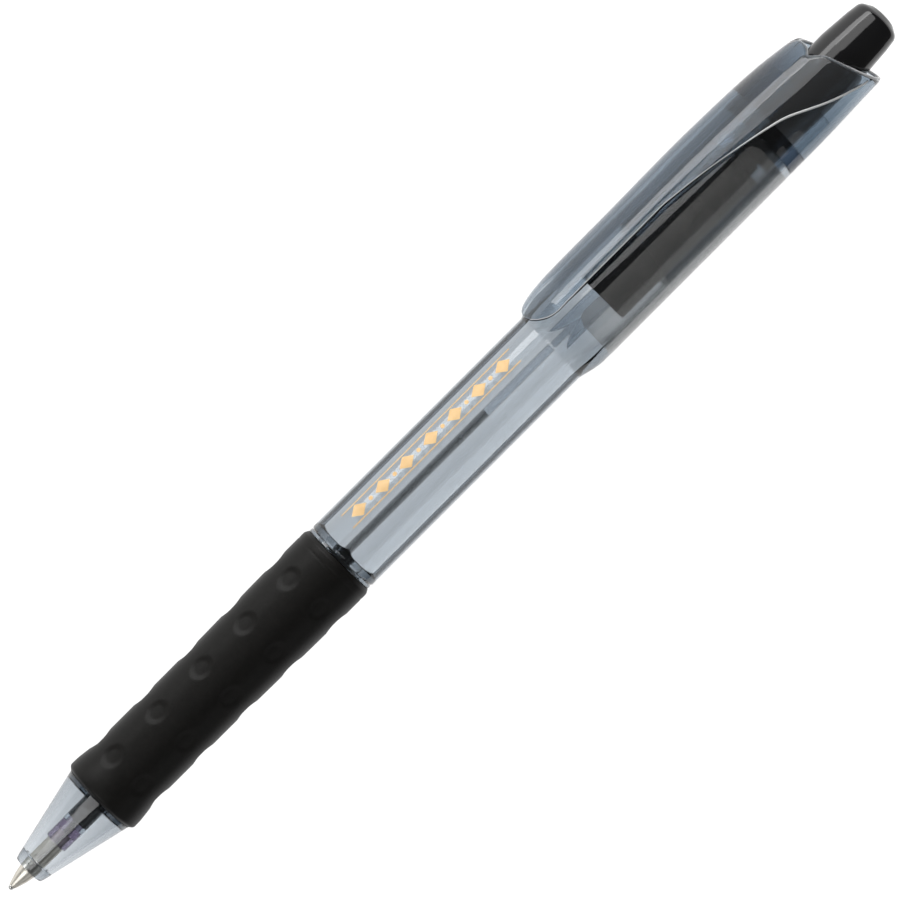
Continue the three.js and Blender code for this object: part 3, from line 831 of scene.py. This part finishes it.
def make_clip_and_cap():
    """The hood and the cap, in lines of points that run rearward.

    The hood's edge and the rim both depend on where a point lies, so each point is found in three passes.
    """
    hood_columns = 48
    cap_columns = 64
    arm = [CLIP_START + (CAP_START - CLIP_START) * (k / 70) ** 1.5 for k in range(70)]
    cap_rows = 28
    mesh = bmesh.new()

    def cap_station(row, angle):
        reach = 1 - (1 - row / cap_rows) ** 1.5       # the rows lie closer together at the rim
        return CAP_START + (rim_station(angle) - CAP_START) * reach

    def hood_point(station, share, under_side=False):
        radius = along(CLIP_RADII, station)
        angle = half_angle(station, share) * share
        if under_side:
            radius -= CLIP_WALL + 0.25 * smooth(93, 97, station)
        else:
            radius -= 0.1 * abs(share) ** 6           # the edges are rolled over a little
            radius -= rolled_in(station, rim_station(angle))
        return place(station, radius, angle)

    outer, under, inner = [], [], []
    for column in range(hood_columns + 1):
        share = 2 * column / hood_columns - 1
        line = [mesh.verts.new(hood_point(s, share)) for s in arm]
        below = [mesh.verts.new(hood_point(s, share, True)) for s in arm]
        below.append(mesh.verts.new(hood_point(CAP_START, share, True)))
        inside = []
        for row in range(cap_rows + 1):
            station = CAP_START + (CAP_END - CAP_START) * row / cap_rows
            for _ in range(3):
                angle = half_angle(station, share) * share
                station = cap_station(row, angle)
            line.append(mesh.verts.new(hood_point(station, share)))
            inside.append(mesh.verts.new(place(station, CAP_BORE_R, angle)))
        outer.append(line)
        under.append(below)
        inner.append(inside)

    cap_outer, cap_inner = [], []
    for column in range(cap_columns + 1):
        share = column / cap_columns
        line, inside = [], []
        for row in range(cap_rows + 1):
            station = CAP_START + (CAP_END - CAP_START) * row / cap_rows
            for _ in range(3):
                first = half_angle(station) + HOOD_STEP
                last = 360 - half_angle(station, -1) - HOOD_STEP
                angle = first + (last - first) * share
                station = cap_station(row, angle)
            radius = cap_radius(station) - rolled_in(station, rim_station(angle))
            line.append(mesh.verts.new(place(station, radius, angle)))
            inside.append(mesh.verts.new(place(station, CAP_BORE_R, angle)))
        cap_outer.append(line)
        cap_inner.append(inside)

    front = len(arm)                                  # the place in a hood's line where the cap starts
    for a, b in zip(range(hood_columns), range(1, hood_columns + 1)):
        bridge(mesh, outer[a], outer[b])
        bridge(mesh, under[a], under[b])
        bridge(mesh, inner[a], inner[b])
        mesh.faces.new((under[a][-1], inner[a][0], inner[b][0], under[b][-1]))
        mesh.faces.new((outer[a][-1], outer[b][-1], inner[b][-1], inner[a][-1]))
        mesh.faces.new((outer[a][0], under[a][0], under[b][0], outer[b][0]))
    for column in (0, hood_columns):
        bridge(mesh, outer[column][:front + 1], under[column])
    for a, b in zip(range(cap_columns), range(1, cap_columns + 1)):
        bridge(mesh, cap_outer[a], cap_outer[b])
        bridge(mesh, cap_inner[a], cap_inner[b])
        for end in (0, -1):
            mesh.faces.new((cap_outer[a][end], cap_inner[a][end], cap_inner[b][end], cap_outer[b][end]))
    for column, cap in ((hood_columns, 0), (0, cap_columns)):
        edge = outer[column][front:]
        bore = inner[column]
        bridge(mesh, edge, cap_outer[cap])
        bridge(mesh, bore, cap_inner[cap])
        mesh.faces.new((edge[0], under[column][-1], bore[0], cap_inner[cap][0], cap_outer[cap][0]))
        mesh.faces.new((edge[-1], cap_outer[cap][-1], cap_inner[cap][-1], bore[-1]))

    made = piece("clip_and_cap", mesh, SMOKE_DARK, 40)
    bevel = made.modifiers.new("soft edges", "BEVEL")
    bevel.width = 0.13 * MM
    bevel.segments = 4
    bevel.limit_method = "ANGLE"
    bevel.angle_limit = math.radians(45)
    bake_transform(made)
    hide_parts("clip_cap", "clip_arm")


def make_painted_highlight_edges():
    """Pale beads along the hood's edges and the rim, a painted highlight for the bright lines that light
    draws along these edges.
    """
    mesh = bmesh.new()
    rows = 120
    for side in (-1, 1):
        rim = rim_station(side * 100)
        path = []
        for k in range(rows + 1):
            station = CLIP_START + 0.25 + (rim - CLIP_START - 0.45) * (k / rows) ** 1.3
            radius = along(CLIP_RADII, station) - 0.13 - rolled_in(station, rim)
            path.append(place(station, radius, side * half_angle(station, side)))
        wire(mesh, path, lambda share: 0.05 + 0.1 * smooth(0.66, 0.85, share), 10)
    # The bead round the rim is painted highlight too.
    ring = [place(rim_station(2.5 * k) - 0.17, RIM_R - 0.3, 2.5 * k) for k in range(144)]
    wire(mesh, ring, lambda share: 0.2, 12, True)
    edges = piece("painted_highlight_beads", mesh, PAINTED_HIGHLIGHT_EDGE, 60)
    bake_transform(edges)


# ------------------------------------------------------------------ stage, light and camera

def make_stage():
    mesh = bmesh.new()
    bmesh.ops.create_grid(mesh, x_segments=1, y_segments=1, size=1.5)
    data = bpy.data.meshes.new("table")
    mesh.to_mesh(data)
    mesh.free()
    table = bpy.data.objects.new("table", data)
    bpy.context.scene.collection.objects.link(table)
    table.location = (0, 0, -0.02 * MM)
    material, _, shader = new_material("table_white")
    shader.inputs["Base Color"].default_value = (0.25, 0.25, 0.25, 1)
    shader.inputs["Roughness"].default_value = 0.9
    shader.inputs["Emission Color"].default_value = (1, 1, 1, 1)
    shader.inputs["Emission Strength"].default_value = 1
    data.materials.append(material)

    world = bpy.data.worlds.new("studio")
    bpy.context.scene.world = world
    world.use_nodes = True
    background = world.node_tree.nodes["Background"]
    background.inputs["Color"].default_value = (1, 1, 1, 1)
    background.inputs["Strength"].default_value = 0.12


def softbox(name, direction, distance, size, radiance, shift=0, shape="RECTANGLE"):
    """A soft area light that faces the pen, moved along it by shift metres."""
    data = bpy.data.lights.new(name, "AREA")
    data.shape = shape
    data.size, data.size_y = size
    data.energy = math.pi * size[0] * size[1] * radiance
    light = bpy.data.objects.new(name, data)
    bpy.context.scene.collection.objects.link(light)
    back = direction.normalized()
    up = back.cross(FORWARD).normalized()
    side = up.cross(back)
    turn = Matrix((side, up, back)).transposed()
    middle = place(VIEW_STATION) + side * shift + back * distance
    light.matrix_world = Matrix.Translation(middle) @ turn.to_4x4()


def make_camera():
    back = around(VIEW_ANGLE)
    clipward = around(VIEW_ANGLE + 90)
    right = -(FORWARD + clipward).normalized()
    up = (clipward - FORWARD).normalized()
    data = bpy.data.cameras.new("camera")
    data.sensor_width = 36
    data.lens = data.sensor_width * VIEW_DISTANCE / VIEW_WIDTH
    data.clip_start = 0.01
    camera = bpy.data.objects.new("camera", data)
    bpy.context.scene.collection.objects.link(camera)
    aim = place(VIEW_STATION) - clipward * VIEW_OFFSET * MM
    turn = Matrix((right, up, back)).transposed()
    camera.matrix_world = Matrix.Translation(aim + back * VIEW_DISTANCE * MM) @ turn.to_4x4()
    bpy.context.scene.camera = camera
    bpy.context.scene.view_settings.view_transform = "Standard"


make_camera()
make_stage()
softbox("clip_side", around(VIEW_ANGLE + 60), 0.45, (0.6, 0.16), 5.5, shift=-0.26)
softbox("far_side", around(VIEW_ANGLE - 66), 0.45, (0.7, 0.22), 0.6, shift=0.25)
softbox("tip_side", around(VIEW_ANGLE + 8) + FORWARD * 0.8, 0.5, (0.24, 0.3), 3.2)
softbox("button_side", around(VIEW_ANGLE + 34) - FORWARD * 0.5, 0.5, (0.42, 0.34), 1.9, shape="ELLIPSE")

make_refill()
make_spring()
make_nose()
make_grip()
make_barrel()
make_print()
make_film()
make_sleeve()
make_cam()
colour_rotor_and_plunger()
make_button()
make_clip_and_cap()
# pale beads that paint the highlight along the hood's edges and the rim
make_painted_highlight_edges()
